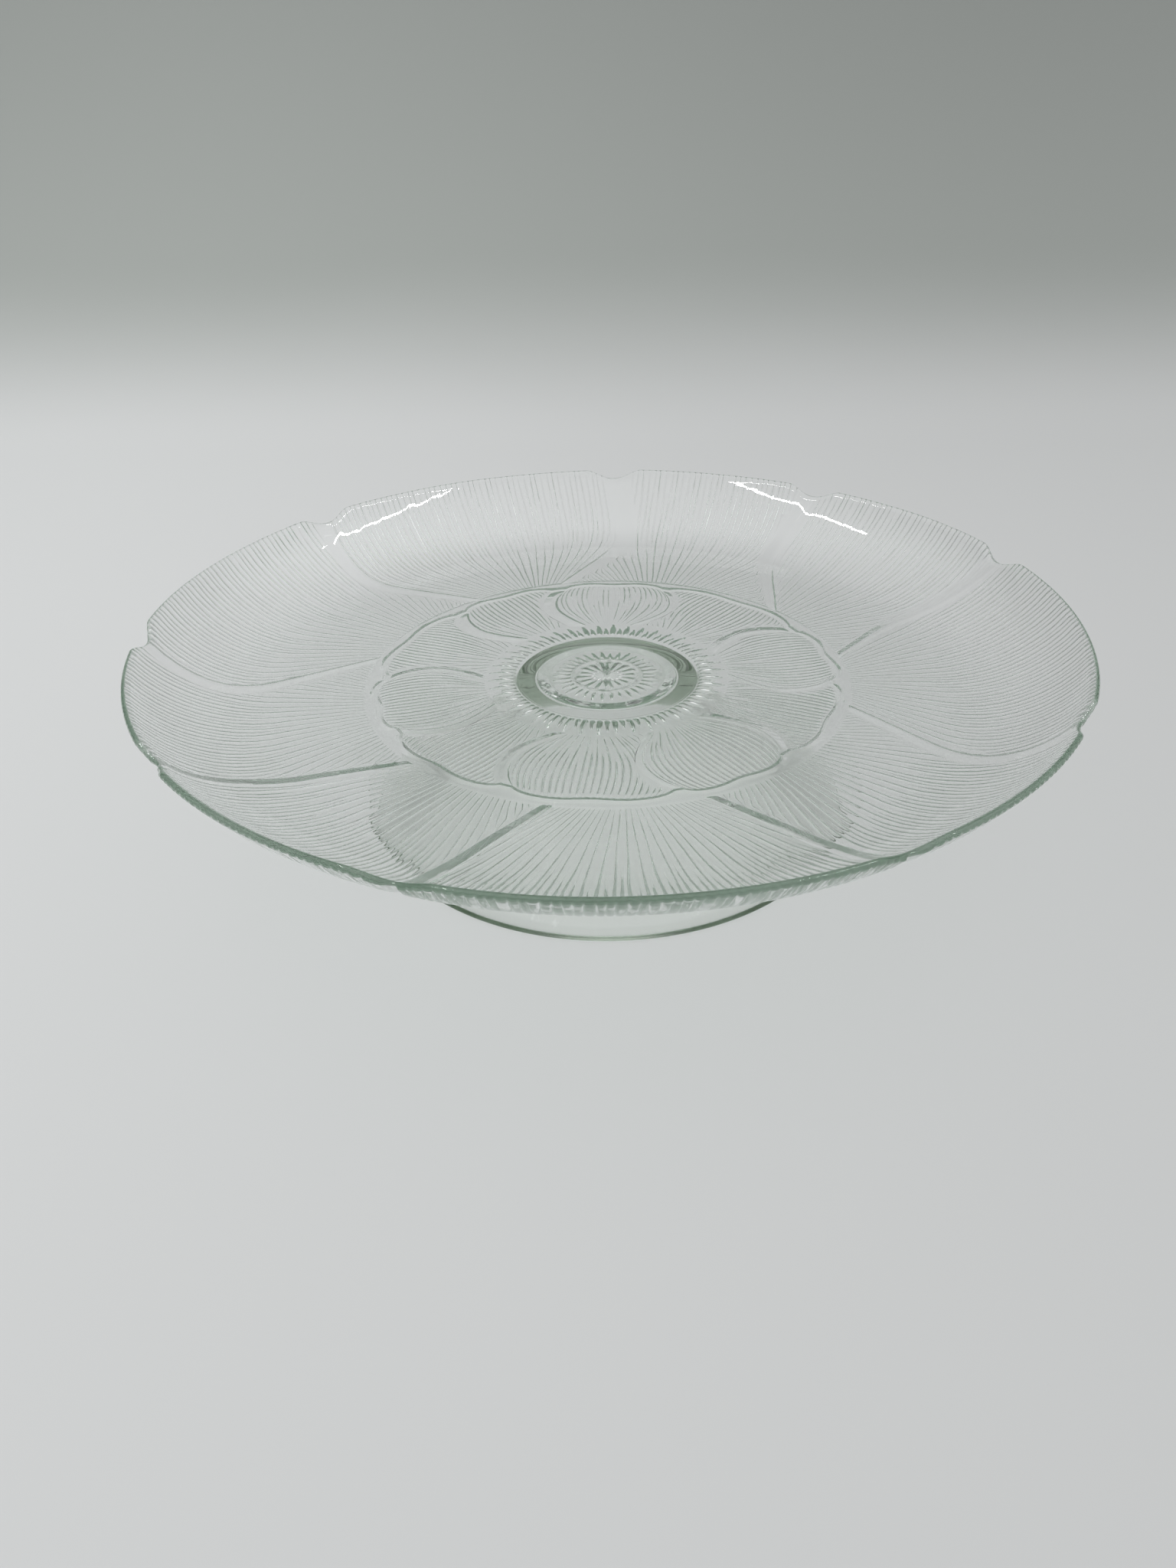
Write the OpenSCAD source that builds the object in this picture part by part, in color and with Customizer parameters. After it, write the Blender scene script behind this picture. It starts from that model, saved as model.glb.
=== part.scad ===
// Footed cake plate of clear pressed glass: a petal-edged dish on a hollow bell foot.
// Millimetres, +Z up, origin on the table at the middle of the foot.

/* [Plate] */
// Diameter over the edges of the petals
plate_d = 330; // [280:1:360]
// Thickness of the plate's flat middle
plate_t = 4; // [3.5:0.1:6]
// Thickness of the plate's wall at the rim
rim_t = 2.6; // [2.4:0.1:3.4]
// Radius of the curve that turns the rim up, on the upper face
dish_r = 50; // [40:1:60]
// Angle of the rim's wall from level, in degrees
rim_angle = 57; // [45:1:65]

/* [Flower under the plate] */
// Depth of the seams and the band that outline the petals
relief_d = 0.6; // [0.4:0.1:1]
// Radius of the plain band between the two rings of petals, at its middle
band_r = 84; // [80:0.5:88]
// Width of the plain band
band_w = 6; // [4:0.5:8]
// Radius of an outer petal's round outline
petal_r = 66; // [60:1:72]
// Width of a seam between outer petals, at the rim
seam_w = 12; // [6:0.5:14]
// Radius of the circle that the inner petals grow from
stamen_r = 41; // [39:0.5:44]
// Radius of an inner petal's round outline
inner_petal_r = 24.5; // [22:0.5:28]
// Width of a seam between inner petals
inner_seam_w = 4; // [1.5:0.5:5]

/* [Notches in the rim] */
// Depth of a notch, measured level
notch_d = 2; // [1:0.25:2.25]
// Radius of the hollow of a notch
notch_r = 10; // [6:0.5:14]
// Radius of the petal corners beside a notch
corner_r = 22; // [10:1:30]

/* [Foot] */
// Height of the foot
foot_h = 50; // [45:1:70]
// Diameter of the foot at the table
foot_d = 177; // [150:1:190]
// Outside diameter of the neck that carries the plate
neck_d = 66; // [56:1:70]
// Thickness of the neck's wall
neck_wall = 6; // [4.5:0.5:8]
// Lean of the neck's outer face at the seat, in degrees from upright
neck_lean = 30; // [22:1:40]
// Radius of the hollow curve from the neck to the skirt
flare_r = 70; // [50:1:75]
// Thickness of the skirt's rounded edge at the table
edge_t = 2.4; // [2:0.2:4]
// Width of the flat ring that stands on the table
land_w = 4; // [3:0.5:6]

/* [Bond] */
// Thickness of the adhesive film
film_t = 0.2; // [0.1:0.05:0.4]
// Margin of bare glass at each edge of the seat
film_inset = 0.5; // [0.25:0.25:1.5]

/* [Hidden] */
$fn = 96;

glass = [0.80, 0.86, 0.83, 0.45];
film = [0.90, 0.92, 0.88, 0.35];

// Heights of the plate's two faces at its flat middle, and the radius where the flat ends
plate_z = foot_h + film_t;
top_z = plate_z + plate_t;
rim_r = plate_d / 2;
flat_r = rim_r - (dish_r + rim_t / 2) * sin(rim_angle) - rim_t / 2;

// The wall's under face is an arc about a lower centre, so that the wall thins towards the rim
dish_at = [flat_r, top_z + dish_r];
under_reach = dish_r + plate_t;
rim_reach = dish_r + rim_t;
taper = (pow(under_reach, 2) - pow(rim_reach, 2)) / (2 * (under_reach - rim_reach * cos(rim_angle)));
under_r = under_reach - taper;

// Reach of cutters past the surface that they cut, and their height over the whole plate
past = 2;
cutter_h = dish_r + plate_t + past;

// Outer petals: bearing of the middle, then 1 where the left and right edge lies over its neighbour
petals = [
    [354.5, 1, 1], [29.5, 0, 1], [72, 0, 0],
    [113.5, 1, 1], [158.5, 0, 1], [199.5, 0, 0],
    [241, 1, 0], [275, 1, 1], [314, 0, 0]
];
// Inner petals that lie over their neighbours: bearing, then the same two edges
inner_petals = [
    [10.5, 1, 1], [88, 1, 1], [122, 0, 1],
    [194.5, 1, 1], [263.5, 1, 0], [301, 1, 1]
];

// The seam of an outer petal lies between its outline and a wider circle that is set further out
petal_at = band_r + petal_r;
seam_r = petal_r + seam_w + band_w / 2;
seam_at = petal_at + seam_w;

// The outline of an inner petal starts inside the stamens, so that the petal has a broad root
root = 2;
inner_at = stamen_r + inner_petal_r - root;

// Centre of the foot's flare, radius of the hollow's curve about it, and radius of the neck's opening
flare_at = [neck_d / 2 + flare_r * cos(neck_lean), foot_h + flare_r * sin(neck_lean)];
hollow_r = flare_r + neck_wall;
neck_in = flare_at[0] - sqrt(pow(hollow_r, 2) - pow(flare_at[1] - foot_h, 2));
// How far the skirt's straight faces are tucked into the curves that they run into
tuck = 0.05;

// Half the angle that a circle of radius c, centred at a, spans at distance r from the plate's axis
function half_span(r, a, c) = acos(max(-1, min(1, (r * r + a * a - c * c) / (2 * a * r))));
// Bearing of a notch from its petal's middle: the middle of the seam where it meets the rim
notch_turn = (half_span(rim_r, petal_at, petal_r) + half_span(rim_r, seam_at, seam_r)) / 2;

// Section of the plate: flat middle, upturned wall and half-round edge
module plate_section() {
    reach = 3 * dish_r;
    translate([0, plate_z]) square([flat_r, plate_t]);
    translate(dish_at) {
        intersection() {
            difference() {
                translate([0, -taper]) circle(under_r);
                circle(dish_r);
            }
            polygon([
                [0, 0],
                [0, -reach],
                [reach * tan(rim_angle / 2), -reach],
                [reach * sin(rim_angle), -reach * cos(rim_angle)]
            ]);
        }
        rotate(rim_angle) translate([0, -dish_r - rim_t / 2]) circle(rim_t / 2);
    }
}

// Section of the layer under the plate that the relief is cut from
module skin_section() {
    translate([0, plate_z - past]) square([flat_r, relief_d + past]);
    translate(dish_at - [0, taper]) intersection() {
        difference() {
            circle(under_r + past);
            circle(under_r - relief_d);
        }
        translate([0, -2 * dish_r]) square([2 * dish_r, 2 * dish_r]);
    }
}

// One half of the plane: side 1 lies to the left of a line from the axis, side -1 to the right
module half_plane(side) {
    reach = 2 * plate_d;
    translate([0, side > 0 ? 0 : -reach]) square([reach, reach]);
}

// Seam along the edges of a petal that lie over its neighbours, in plan
module seam_plan(petal, at, outline_r, wide_at, wide_r) {
    rotate(petal[0]) for (edge = [1, 2]) if (petal[edge] == 1) intersection() {
        difference() {
            translate([wide_at, 0]) circle(wide_r);
            translate([at, 0]) circle(outline_r);
        }
        half_plane(edge == 1 ? -1 : 1);
    }
}

module ring_plan(inner, outer) {
    difference() {
        circle(outer);
        circle(inner);
    }
}

// Everything that is cut under the plate, in plan
module relief_plan() {
    ring_plan(band_r - band_w / 2, band_r + band_w / 2);
    difference() {
        for (petal = petals) seam_plan(petal, petal_at, petal_r, seam_at, seam_r);
        circle(band_r);
    }
    intersection() {
        for (petal = inner_petals)
            seam_plan(petal, inner_at, inner_petal_r, inner_at, inner_petal_r + inner_seam_w);
        ring_plan(stamen_r, band_r);
    }
}

// Notch between two petals: a hollow with rounded corners, the rim along X and outward along Y
module notch_plan() {
    hollow_y = notch_r - notch_d;
    span = notch_r + corner_r;
    corner_x = sqrt(span * span - pow(hollow_y + corner_r, 2));
    meet = [corner_x, -corner_r - hollow_y] * notch_r / span + [0, hollow_y];
    difference() {
        union() {
            polygon([
                [-corner_x, 0], [-meet[0], meet[1]], [meet[0], meet[1]], [corner_x, 0],
                [corner_x, 2 * notch_r], [-corner_x, 2 * notch_r]
            ]);
            translate([0, hollow_y]) circle(notch_r);
        }
        for (side = [-1, 1]) translate([side * corner_x, -corner_r]) circle(corner_r);
    }
}

module notches() {
    for (petal = petals, edge = [1, 2]) if (petal[edge] == 1)
        rotate(petal[0] + (edge == 1 ? -1 : 1) * notch_turn)
            translate([rim_r, 0, top_z]) rotate(-90) linear_extrude(cutter_h) notch_plan();
}

module plate() {
    color(glass) difference() {
        rotate_extrude() plate_section();
        intersection() {
            rotate_extrude() skin_section();
            translate([0, 0, plate_z - past]) linear_extrude(cutter_h) relief_plan();
        }
        notches();
    }
}

// Section of the foot. The skirt is straight between the flare at the neck and the edge at the table.
module foot_section() {
    edge_r = edge_t / 2;
    edge_at = [foot_d / 2 - edge_r, edge_r];
    // Direction from the flare's centre to the outer face, which runs into the edge's round
    to_edge = edge_at - flare_at;
    outer_turn = atan2(to_edge[1], to_edge[0]) - acos((flare_r + edge_r - 2 * tuck) / norm(to_edge));
    outer_dir = [cos(outer_turn), sin(outer_turn)];
    // Direction from the flare's centre to the inner face, which starts at the land's inner edge
    land_at = [foot_d / 2 - edge_r - land_w, 0];
    to_land = land_at - flare_at;
    inner_turn = atan2(to_land[1], to_land[0]) - acos((hollow_r - tuck) / norm(to_land));
    inner_dir = [cos(inner_turn), sin(inner_turn)];
    difference() {
        union() {
            polygon([
                [0, 0],
                [edge_at[0], 0],
                edge_at,
                edge_at - (edge_r - tuck) * outer_dir,
                flare_at + (flare_r - tuck) * outer_dir,
                [neck_d, foot_h],
                [0, foot_h]
            ]);
            translate(edge_at) circle(edge_r);
        }
        translate(flare_at) circle(flare_r);
        difference() {
            polygon([
                [0, -past],
                [land_at[0], -past],
                land_at,
                flare_at + (hollow_r - tuck) * inner_dir,
                [neck_d / 2, foot_h + past],
                [0, foot_h + past]
            ]);
            translate(flare_at) circle(hollow_r);
        }
    }
}

module foot() {
    color(glass) rotate_extrude() foot_section();
}

module bond_ring() {
    color(film) translate([0, 0, foot_h]) linear_extrude(film_t)
        ring_plan(neck_in + film_inset, neck_d / 2 - film_inset);
}

plate();
foot();
bond_ring();
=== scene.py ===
"""Footed cake plate of clear pressed glass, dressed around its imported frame.

A petal-edged dish stands on a hollow bell foot, and a thin clear ring bonds the two. The dish is smooth
above. A flower is pressed into its underside: ribbed outer petals that lap over one another, a plain
band, ribbed inner petals, a ring of stamens and a star. Sizes are in millimetres, bearings in degrees
counted from +X towards +Y, and meshes are written in metres.
"""

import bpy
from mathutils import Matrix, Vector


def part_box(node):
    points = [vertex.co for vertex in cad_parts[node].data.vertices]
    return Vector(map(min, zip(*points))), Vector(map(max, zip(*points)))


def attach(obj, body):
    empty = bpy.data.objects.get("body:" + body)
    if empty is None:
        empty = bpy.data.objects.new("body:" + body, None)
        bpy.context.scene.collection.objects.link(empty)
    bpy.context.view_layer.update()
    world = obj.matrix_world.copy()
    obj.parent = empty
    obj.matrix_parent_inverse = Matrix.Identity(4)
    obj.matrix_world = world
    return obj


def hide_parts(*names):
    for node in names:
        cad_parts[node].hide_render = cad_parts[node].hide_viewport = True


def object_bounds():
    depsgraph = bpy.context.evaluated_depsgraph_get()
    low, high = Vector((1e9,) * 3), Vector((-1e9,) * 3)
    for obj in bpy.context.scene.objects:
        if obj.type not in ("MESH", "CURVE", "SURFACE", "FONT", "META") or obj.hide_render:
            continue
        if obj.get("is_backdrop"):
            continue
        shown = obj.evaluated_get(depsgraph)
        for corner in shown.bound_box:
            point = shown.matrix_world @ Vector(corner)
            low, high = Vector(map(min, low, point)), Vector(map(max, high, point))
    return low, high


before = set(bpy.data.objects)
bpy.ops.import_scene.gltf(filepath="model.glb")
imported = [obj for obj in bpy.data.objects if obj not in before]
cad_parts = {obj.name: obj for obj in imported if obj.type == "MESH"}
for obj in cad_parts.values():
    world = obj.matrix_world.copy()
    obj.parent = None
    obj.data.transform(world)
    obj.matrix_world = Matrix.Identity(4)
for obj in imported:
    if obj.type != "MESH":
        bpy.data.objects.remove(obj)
CAD_LOW, CAD_HIGH = (corner.copy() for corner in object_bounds())

import enum
import logging
from dataclasses import dataclass
from typing import Any, Mapping, Union

import bpy
import numpy as np
from mathutils import Matrix, Vector
from numpy.typing import NDArray

Array = NDArray[np.float64]
Index = NDArray[np.int64]
Colour = tuple[float, float, float]
Place = tuple[float, float, float]
Point = tuple[float, float]
Number = Union["Value", float]

LOG = logging.getLogger("cake_plate")
BODY = "root"
# Metres in a millimetre, degrees in a turn, and the angle in degrees past which an edge is a crease
MM = 0.001
TURN = 360.0
CREASE = 40.0
# Size in millimetres of the cells in which points are welded into one
WELD = 1.0e-5


# Numbers that several surfaces share

def node_box(node: str) -> tuple[Array, Array]:
    """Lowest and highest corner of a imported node, in millimetres.

    Args:
        node: name of the node in the frame.

    Returns:
        The two corners.
    """
    low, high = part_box(node)
    return np.array(low) / MM, np.array(high) / MM


def ease(low: Union[float, Array], high: Union[float, Array], value: Array) -> Array:
    """Smooth step from 0 at low to 1 at high: t * t * (3 - 2 t) of the share t of the way."""
    share = np.clip((value - low) / (high - low), 0.0, 1.0)
    return share * share * (3.0 - 2.0 * share)


def scatter(index: Array, seed: float) -> Array:
    """Repeatable number from 0 to 1 for each index: the fraction of a large multiple of a sine."""
    return np.modf(np.abs(np.sin(index * 12.9898 + seed * 78.233)) * 43758.5453)[0]


def arc(centre: Point, radius: float, start: float, end: float, steps: int) -> Array:
    """Points of a circular arc in a section: centre + radius * (cos, sin) of evenly spaced angles.

    Args:
        centre: middle of the arc, as distance from the axis and height.
        radius: radius of the arc.
        start: first angle in degrees.
        end: last angle in degrees.
        steps: number of points.

    Returns:
        Array of shape (steps, 2).
    """
    angle = np.radians(np.linspace(start, end, steps))
    return np.column_stack((centre[0] + radius * np.cos(angle), centre[1] + radius * np.sin(angle)))


def bend(start: Array, corner: Array, end: Array, steps: int) -> Array:
    """Points of a rounded corner: (1 - s)² * start + 2 s (1 - s) * corner + s² * end, for s from 0 to 1.

    Args:
        start: where the curve leaves the first line.
        corner: where the two lines meet.
        end: where it joins the second line.
        steps: number of points.

    Returns:
        Array of shape (steps, 2).
    """
    s = np.linspace(0.0, 1.0, steps)[:, None]
    return (1.0 - s) ** 2 * start + 2.0 * s * (1.0 - s) * corner + s**2 * end


def round_axis(radius: Array, height: Array, bearing: Array) -> Array:
    """Points at a distance from the axis, a height and a bearing, as (x, y, z) in the last axis."""
    angle = np.radians(bearing)
    return np.stack(np.broadcast_arrays(radius * np.cos(angle), radius * np.sin(angle), height), axis=-1)


def even_bearings(columns: int) -> Array:
    """Bearings that divide the whole turn evenly."""
    return np.arange(columns) * (TURN / columns)


# Shader maths

class Value:
    """A number in a material's node tree, so that shader maths reads as an expression."""

    def __init__(self, shader: "Shader", socket: bpy.types.NodeSocket) -> None:
        """Wraps one output socket of a node tree."""
        self.shader = shader
        self.socket = socket

    def _math(self, operation: str, first: Number, second: Number) -> "Value":
        """Adds one Math node and returns its result."""
        return self.shader.value("ShaderNodeMath", {"operation": operation}, {0: first, 1: second}, 0)

    def __add__(self, other: Number) -> "Value":
        """This number plus another."""
        return self._math("ADD", self, other)

    __radd__ = __add__

    def __sub__(self, other: Number) -> "Value":
        """This number less another."""
        return self._math("SUBTRACT", self, other)

    def __rsub__(self, other: Number) -> "Value":
        """Another number less this one."""
        return self._math("SUBTRACT", other, self)

    def __mul__(self, other: Number) -> "Value":
        """This number times another."""
        return self._math("MULTIPLY", self, other)

    __rmul__ = __mul__

    def ease(self, low: float, high: float) -> "Value":
        """Eases from 0 to 1 while this number goes from low to high."""
        settings = {"interpolation_type": "SMOOTHSTEP"}
        return self.shader.value("ShaderNodeMapRange", settings, {0: self, 1: low, 2: high}, 0)


class Shader:
    """The node tree of one material or of the world."""

    def __init__(self, tree: bpy.types.NodeTree) -> None:
        """Empties the tree, so that every node in it is made here."""
        self.tree = tree
        tree.nodes.clear()

    def add(self, kind: str, settings: Mapping[str, Any], inputs: Mapping[Any, Any]) -> bpy.types.Node:
        """Adds any node.

        Args:
            kind: the node's type.
            settings: properties of the node, which are set first.
            inputs: a number, colour, socket or Value for each input socket, by name or position.

        Returns:
            The new node.
        """
        node = self.tree.nodes.new(kind)
        for name, setting in settings.items():
            setattr(node, name, setting)
        for key, content in inputs.items():
            source = content.socket if isinstance(content, Value) else content
            if isinstance(source, bpy.types.NodeSocket):
                self.tree.links.new(source, node.inputs[key])
            else:
                node.inputs[key].default_value = source
        return node

    def value(self, kind: str, settings: Mapping[str, Any], inputs: Mapping[Any, Any], output: Any) -> Value:
        """Adds any node and returns one of its outputs as a Value."""
        return Value(self, self.add(kind, settings, inputs).outputs[output])

    def noise(self, place: bpy.types.NodeSocket, scale: float, detail: float = 2.0) -> Value:
        """Smooth noise from 0 to 1: scale waves per metre, which detail breaks up into finer ones."""
        inputs = {"Vector": place, "Scale": scale, "Detail": detail}
        return self.value("ShaderNodeTexNoise", {}, inputs, "Fac")

    def split(self, place: bpy.types.NodeSocket) -> list[Value]:
        """The X, Y and Z of a place or of a direction."""
        return [Value(self, part) for part in self.add("ShaderNodeSeparateXYZ", {}, {0: place}).outputs]

    def object_place(self) -> bpy.types.NodeSocket:
        """The place of a surface point in the object's own coordinates, in metres."""
        return self.add("ShaderNodeTexCoord", {}, {}).outputs["Object"]


# Finishes; the paper's colour carries painted shade

@dataclass(frozen=True)
class GlassFinish:
    """Clear pressed glass with a faint green tint and a slightly rippled, fire-polished skin.

    Attributes:
        name: name of the material.
        absorption: coefficients by which the glass absorbs red, green and blue, per metre.
        index: refractive index.
        ripple: height of the skin's ripple, in metres.
        ripple_scale: ripples per metre.
        grain: height of the finest ripple, as a share of the ripple's.
        grain_scale: finest ripples per metre.
        haze: roughness of the cleanest and of the most handled patches.
        smear_scale: smears per metre.
        smear_detail: how far a smear breaks up into finer ones.
        smear: values of the smears' noise between which a patch goes from clean to handled.
        shade: colour that one face lets through to the shadow.
    """

    name: str
    absorption: Colour = (5.8, 4.2, 5.4)
    index: float = 1.52
    ripple: float = 0.00004
    ripple_scale: float = 90.0
    grain: float = 0.25
    grain_scale: float = 450.0
    haze: Point = (0.0, 0.018)
    smear_scale: float = 14.0
    smear_detail: float = 4.0
    smear: Point = (0.5, 0.75)
    shade: Colour = (0.993, 0.997, 0.995)

    def make(self) -> bpy.types.Material:
        """Builds the material: a refracting skin around a volume that absorbs, clear to lamps.

        Returns:
            The material.
        """
        material = bpy.data.materials.new(self.name)
        material.use_nodes = True
        shader = Shader(material.node_tree)
        place = shader.object_place()
        wave = shader.noise(place, self.ripple_scale)
        grain = shader.noise(place, self.grain_scale)
        smear = shader.noise(place, self.smear_scale, self.smear_detail)
        bump = shader.add("ShaderNodeBump", {}, {
            "Strength": 1.0,
            "Distance": self.ripple,
            "Height": wave + grain * self.grain,
        })
        clean, handled = self.haze
        glass = shader.add("ShaderNodeBsdfPrincipled", {}, {
            "Base Color": (1.0, 1.0, 1.0, 1.0),
            "Roughness": clean + smear.ease(*self.smear) * (handled - clean),
            "IOR": self.index,
            "Transmission Weight": 1.0,
            "Normal": bump.outputs["Normal"],
        })
        clear = shader.add("ShaderNodeBsdfTransparent", {}, {"Color": (*self.shade, 1.0)})
        ray = shader.add("ShaderNodeLightPath", {}, {})
        skin = glass
        for kind in ("Is Diffuse Ray", "Is Shadow Ray"):
            ends = {1: skin.outputs[0], 2: clear.outputs[0]}
            skin = shader.add("ShaderNodeMixShader", {}, {0: ray.outputs[kind], **ends})
        density = max(self.absorption)
        passed = tuple(1.0 - share / density for share in self.absorption)
        volume = shader.add("ShaderNodeVolumeAbsorption", {}, {"Color": (*passed, 1.0), "Density": density})
        shader.add("ShaderNodeOutputMaterial", {}, {"Surface": skin.outputs[0], "Volume": volume.outputs[0]})
        return material


@dataclass(frozen=True)
class PaperAndPaintedShade:
    """Pale matt paper that lies under the plate and rises behind it, with painted shade: greyer where it
    rises, lighter at the left and darker at the right.

    Attributes:
        near: colour of the paper under the plate.
        far: colour of the paper where it rises, darkened as painted shade.
        turn: distances behind the plate between which the painted shade comes in, in metres.
        climb: distance that a metre of height counts for, in metres.
        cloud: how far the edge of the painted shade wanders, in metres.
        cloud_scale: waves of that wander per metre.
        cloud_detail: how far those waves break up into finer ones.
        sides: share of the colour at the left and at the right, as painted light at the left and painted
            shade at the right.
        across: places across the view between which that share changes, in metres.
        roughness: roughness of the paper.
        gloss: level of its reflection.
    """

    near: Colour = (0.633, 0.637, 0.64)
    far: Colour = (0.385, 0.403, 0.387)
    turn: Point = (0.48, 0.85)
    climb: float = 0.6
    cloud: float = 0.05
    cloud_scale: float = 3.0
    cloud_detail: float = 3.0
    sides: Point = (1.08, 0.84)
    across: Point = (-0.5, 0.5)
    roughness: float = 0.75
    gloss: float = 0.25

    def make(self) -> bpy.types.Material:
        """Builds the material: the colour eases from near to the painted shade of far along Y and up the
        rise, and is scaled across X by painted light and shade.

        Returns:
            The material.
        """
        material = bpy.data.materials.new("pale_paper")
        material.use_nodes = True
        shader = Shader(material.node_tree)
        place = shader.object_place()
        x, y, z = shader.split(place)
        cloud = shader.noise(place, self.cloud_scale, self.cloud_detail)
        # Share of the painted shade, which comes in behind the plate and up the rising paper
        share = (y + z * self.climb + (cloud - 0.5) * self.cloud).ease(*self.turn)
        # A Mix node takes its two colours at inputs 6 and 7, and gives the mixed one at output 2
        colour = shader.add("ShaderNodeMix", {"data_type": "RGBA"},
                            {"Factor": share, 6: (*self.near, 1.0), 7: (*self.far, 1.0)})
        # Painted light and shade across the view: lighter at the left, darker at the right
        left, right = self.sides
        side_light_and_shade = left + x.ease(*self.across) * (right - left)
        colour_with_side_shade = shader.add("ShaderNodeVectorMath", {"operation": "SCALE"},
                           {0: colour.outputs[2], "Scale": side_light_and_shade})
        paper = shader.add("ShaderNodeBsdfPrincipled", {}, {
            "Base Color": colour_with_side_shade.outputs[0],
            "Roughness": self.roughness,
            "Specular IOR Level": self.gloss,
        })
        shader.add("ShaderNodeOutputMaterial", {}, {"Surface": paper.outputs[0]})
        return material


# Meshes

class Shell:
    """A closed skin, gathered from rows of points around the axis and written to one mesh."""

    def __init__(self) -> None:
        """Starts with no points and no faces."""
        self.points: list[Array] = []
        self.faces: list[Index] = []
        self.count = 0

    def add(self, points: Array) -> Index:
        """Adds points.

        Args:
            points: places in millimetres, with (x, y, z) in the last axis.

        Returns:
            The points' numbers, in the same layout.
        """
        flat = points.reshape(-1, 3)
        numbers = np.arange(self.count, self.count + len(flat)).reshape(points.shape[:-1])
        self.points.append(flat)
        self.count += len(flat)
        return numbers

    def _face(self, *corners: Index) -> None:
        """Adds triangles from three arrays of point numbers."""
        self.faces.append(np.stack(np.broadcast_arrays(*corners), axis=-1).reshape(-1, 3))

    def skin(self, rows: Index) -> None:
        """Fills each cell between neighbouring closed rows with two triangles.

        Args:
            rows: numbers of the points, one row for each closed loop, all of one length.
        """
        here, there = rows[:-1], rows[1:]
        here_next = np.roll(here, -1, axis=1)
        there_next = np.roll(there, -1, axis=1)
        self._face(here, here_next, there_next)
        self._face(here, there_next, there)

    def zip(self, here: Index, here_bearing: Array, there: Index, there_bearing: Array) -> None:
        """Joins two closed loops that have different numbers of points.

        All the bearings are put in one order. Each step to the next point, on either loop, adds the
        triangle of that point, the point before it and the point reached on the other loop.

        Args:
            here: numbers of the first loop's points.
            here_bearing: their bearings.
            there: numbers of the second loop's points.
            there_bearing: their bearings.
        """
        first = here[np.argsort(here_bearing % TURN, kind="stable")]
        second = there[np.argsort(there_bearing % TURN, kind="stable")]
        bearings = np.concatenate((np.sort(here_bearing % TURN), np.sort(there_bearing % TURN)))
        on_first = np.concatenate((np.ones(len(first), bool), np.zeros(len(second), bool)))
        on_first = on_first[np.argsort(bearings, kind="stable")]
        reached = np.cumsum(on_first)
        reached_second = np.cumsum(~on_first)
        first_now = first[(reached - 1) % len(first)]
        second_now = second[(reached_second - 1) % len(second)]
        first_before = first[(reached - on_first - 1) % len(first)]
        second_before = second[(reached_second - ~on_first - 1) % len(second)]
        self._face(first_before[on_first], first_now[on_first], second_now[on_first])
        other = ~on_first
        self._face(first_now[other], second_now[other], second_before[other])

    def close_start(self, centre: Array, loop: Index) -> None:
        """Closes the middle of the first loop with a fan to a centre point."""
        self._face(self.add(centre.reshape(1, 3)), np.roll(loop, -1), loop)

    def close_end(self, loop: Index, centre: Array) -> None:
        """Closes the middle of the last loop with a fan to a centre point."""
        self._face(loop, np.roll(loop, -1), self.add(centre.reshape(1, 3)))

    def write(self, name: str, material: bpy.types.Material) -> bpy.types.Object:
        """Welds points that coincide, drops faces that have closed up and writes the object.

        Args:
            name: name of the object and of its mesh.
            material: finish of the whole piece.

        Returns:
            The object, at the origin, with smooth shading between its creases.
        """
        points = np.concatenate(self.points)
        _, keep, number = np.unique(np.round(points / WELD).astype(np.int64), axis=0,
                                    return_index=True, return_inverse=True)
        faces = number.reshape(-1)[np.concatenate(self.faces)]
        a, b, c = faces.T
        faces = faces[(a != b) & (b != c) & (c != a)]
        used, faces = np.unique(faces, return_inverse=True)
        places = points[keep][used] * MM
        corners = faces.reshape(-1)
        mesh = bpy.data.meshes.new(name)
        mesh.vertices.add(len(places))
        mesh.vertices.foreach_set("co", places.reshape(-1))
        mesh.loops.add(len(corners))
        mesh.loops.foreach_set("vertex_index", corners)
        mesh.polygons.add(len(corners) // 3)
        mesh.polygons.foreach_set("loop_start", np.arange(0, len(corners), 3))
        mesh.polygons.foreach_set("use_smooth", np.ones(len(corners) // 3, bool))
        mesh.update(calc_edges=True)
        mesh.validate()
        mesh.set_sharp_from_angle(angle=np.radians(CREASE))
        mesh.materials.append(material)
        piece = bpy.data.objects.new(name, mesh)
        bpy.context.scene.collection.objects.link(piece)
        return piece


def fit(piece: bpy.types.Object, node: str) -> None:
    """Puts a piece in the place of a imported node, on the part's one body.

    Args:
        piece: the finished piece.
        node: name of the node in the frame.
    """
    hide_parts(node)
    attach(piece, BODY)
    LOG.info("%s: %d triangles in the place of %s", piece.name, len(piece.data.polygons), node)


# The pressed flower

class Lap(enum.Enum):
    """How the edge of a petal lies against the next petal."""

    OVER = "over"
    UNDER = "under"


@dataclass(frozen=True)
class Edge:
    """One edge of a petal, as half angles from the petal's middle.

    An edge that lies under ends at its neighbour's seam, so it has no outline of its own.

    Attributes:
        lap: how it lies.
        base: half angle where the petal starts.
        widest: largest half angle.
        widest_at: distance from the axis where the petal is widest.
        seam: width of the seam beside it.
        deep: depth of that seam, as a share of the depth that its width would give.
    """

    lap: Lap = Lap.UNDER
    base: float = 0.0
    widest: float = 0.0
    widest_at: float = 0.0
    seam: float = 0.0
    deep: float = 1.0


UNDER = Edge()


def over(base: float, widest: float, widest_at: float, seam: float, deep: float = 1.0) -> Edge:
    """An edge that lies over the next petal."""
    return Edge(Lap.OVER, base, widest, widest_at, seam, deep)


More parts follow.
